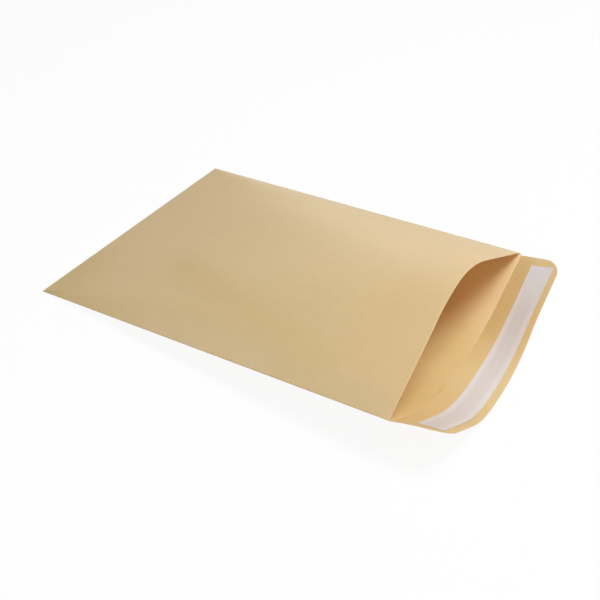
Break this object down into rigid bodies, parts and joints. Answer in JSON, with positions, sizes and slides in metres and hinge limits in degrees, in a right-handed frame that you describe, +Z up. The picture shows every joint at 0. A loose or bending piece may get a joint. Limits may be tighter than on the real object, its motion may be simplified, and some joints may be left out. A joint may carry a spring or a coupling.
{
  "type": "open kraft envelope",
  "caption": "Brown kraft paper pocket envelope lying with its mouth held open, with a rounded sealing flap and a self-seal strip under a release liner.",
  "frame": {"origin": "middle of the envelope's outline on the surface that it lies on", "axes": "+X from the closed end to the sealing flap, +Y across the width, +Z up"},
  "size_m": [0.3612, 0.2294, 0.0808],
  "materials": {
    "kraft_paper": "matte brown kraft with fine fibres",
    "adhesive": "clear tacky film",
    "release_paper": "satin silicone-coated pale paper"
  },
  "bodies": {
    "root": {"envelope_body": "kraft_paper", "adhesive_strip": "adhesive", "release_liner": "release_paper"}
  },
  "joints": []
}
